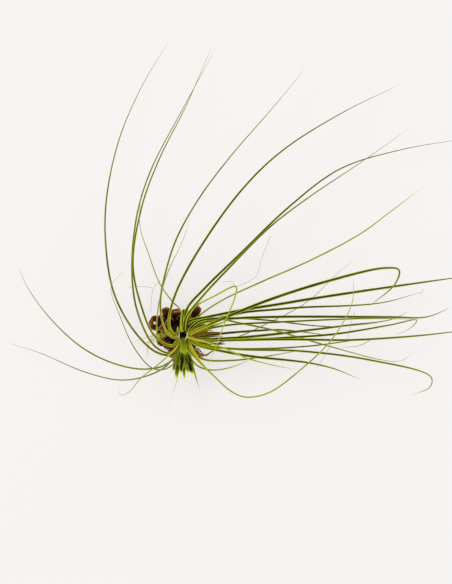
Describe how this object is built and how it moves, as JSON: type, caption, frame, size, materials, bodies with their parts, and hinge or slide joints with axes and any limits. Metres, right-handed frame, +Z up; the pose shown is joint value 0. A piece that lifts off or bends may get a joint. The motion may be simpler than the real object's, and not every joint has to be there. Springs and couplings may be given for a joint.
{
  "type": "air plant on pine cone",
  "caption": "Air plant with long thin arching leaves and a young flower stalk, seated on an open pine cone that stands on its flat base.",
  "frame": {"origin": "on the pine cone's flat underside, right below the heart of the plant", "axes": "+Z up from the surface it stands on, +X along the thick bundle of leaves, +Y towards the leaves that sweep back"},
  "size_m": [0.4678, 0.3751, 0.1015],
  "materials": {
    "leaf_deep": "satin",
    "leaf_green": "satin",
    "leaf_olive": "satin",
    "leaf_fresh": "satin",
    "leaf_bright": "satin",
    "leaf_straw": "matte",
    "leaf_rust": "matte",
    "leaf_grey": "matte",
    "leaf_pale": "satin",
    "crown": "satin",
    "bracts": "satin",
    "cone_wood": "matte",
    "resin": "gloss"
  },
  "bodies": {
    "root": {"leaf_back_1": "leaf_olive", "leaf_back_2": "leaf_olive", "leaf_back_3": "leaf_green", "leaf_back_4": "leaf_olive", "leaf_back_5": "leaf_fresh", "leaf_back_6": "leaf_fresh", "leaf_back_7": "leaf_deep", "leaf_back_8": "leaf_deep", "leaf_back_9": "leaf_green", "leaf_back_10": "leaf_fresh", "leaf_folded": "leaf_bright", "leaf_heart": "leaf_bright", "leaf_right_1": "leaf_deep", "leaf_right_2": "leaf_deep", "leaf_right_3": "leaf_green", "leaf_right_4": "leaf_deep", "leaf_right_5": "leaf_green", "leaf_right_6": "leaf_green", "leaf_right_7": "leaf_deep", "leaf_right_8": "leaf_green", "leaf_right_9": "leaf_green", "leaf_right_10": "leaf_green", "leaf_right_11": "leaf_green", "leaf_right_12": "leaf_fresh", "leaf_right_13": "leaf_green", "leaf_right_14": "leaf_green", "leaf_right_15": "leaf_bright", "leaf_right_16": "leaf_olive", "leaf_right_17": "leaf_fresh", "leaf_right_18": "leaf_fresh", "leaf_right_19": "leaf_olive", "leaf_left_1": "leaf_olive", "leaf_left_2": "leaf_olive", "leaf_left_3": "leaf_olive", "leaf_left_4": "leaf_fresh", "leaf_front_1": "leaf_fresh", "leaf_front_2": "leaf_pale", "dry_leaf_1": "leaf_rust", "dry_leaf_2": "leaf_rust", "dry_leaf_3": "leaf_straw", "dry_leaf_4": "leaf_straw", "young_leaf_left": "leaf_pale", "young_leaf_right": "leaf_pale", "flower_stalk": "bracts", "crown": "crown", "side_shoot": "leaf_bright", "pine_cone": "cone_wood", "resin_bead": "resin"}
  },
  "joints": []
}
